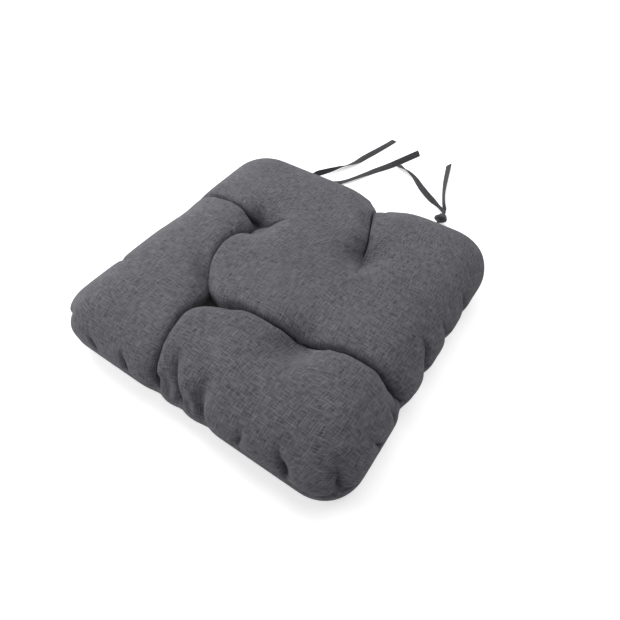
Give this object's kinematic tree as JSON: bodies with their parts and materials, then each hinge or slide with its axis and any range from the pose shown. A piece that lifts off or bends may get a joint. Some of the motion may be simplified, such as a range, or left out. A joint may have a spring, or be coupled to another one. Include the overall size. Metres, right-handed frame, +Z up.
{
  "type": "chair seat pad",
  "caption": "Square tufted chair seat pad in charcoal woven fabric, fibre filled, with tie tapes sewn into its back seam: one pair loose, the other knotted.",
  "frame": {"origin": "middle of the flat underside, on the surface that the pad lies on", "axes": "+Z up, out of the tufted side; +Y towards the back edge, where the ties are sewn in; +X to the right of someone sitting on the pad"},
  "size_m": [0.4, 0.6334, 0.082],
  "materials": {
    "cover_fabric": "matte linen-look weave, charcoal melange with fine slubs both ways",
    "tie_tape": "the cover's fabric folded and pressed into a narrow tape",
    "sewing_thread": "twisted polyester thread, charcoal",
    "polyester_fibre": "white loose fibre, hidden inside"
  },
  "bodies": {
    "cushion": {"top_cover_panel": "cover_fabric", "bottom_cover_panel": "cover_fabric", "fibre_filling": "polyester_fibre", "perimeter_seam_thread": "sewing_thread", "closing_seam_thread": "sewing_thread", "tufting_thread_back_left": "sewing_thread", "tufting_thread_front_left": "sewing_thread", "tufting_thread_back_right": "sewing_thread", "tufting_thread_front_right": "sewing_thread", "left_tie_fold": "tie_tape", "right_tie_fold": "tie_tape"},
    "left_outer_tie": {"left_tie_outer_strand": "tie_tape"},
    "left_inner_tie": {"left_tie_inner_strand": "tie_tape"},
    "right_tie_pair": {"right_tie_inner_strand": "tie_tape", "right_tie_outer_strand": "tie_tape", "right_tie_knot": "tie_tape"}
  },
  "joints": [
    {"name": "left_outer_tie_lift", "type": "hinge", "parent": "cushion", "child": "left_outer_tie", "pos_m": [-0.121, 0.202, 0.035], "axis": [1, 0, 0], "range_deg": [0, 100]},
    {"name": "left_inner_tie_lift", "type": "hinge", "parent": "cushion", "child": "left_inner_tie", "pos_m": [-0.109, 0.202, 0.035], "axis": [1, 0, 0], "range_deg": [0, 100]},
    {"name": "right_tie_pair_lift", "type": "hinge", "parent": "cushion", "child": "right_tie_pair", "pos_m": [0.115, 0.202, 0.035], "axis": [1, 0, 0], "range_deg": [0, 100]}
  ]
}
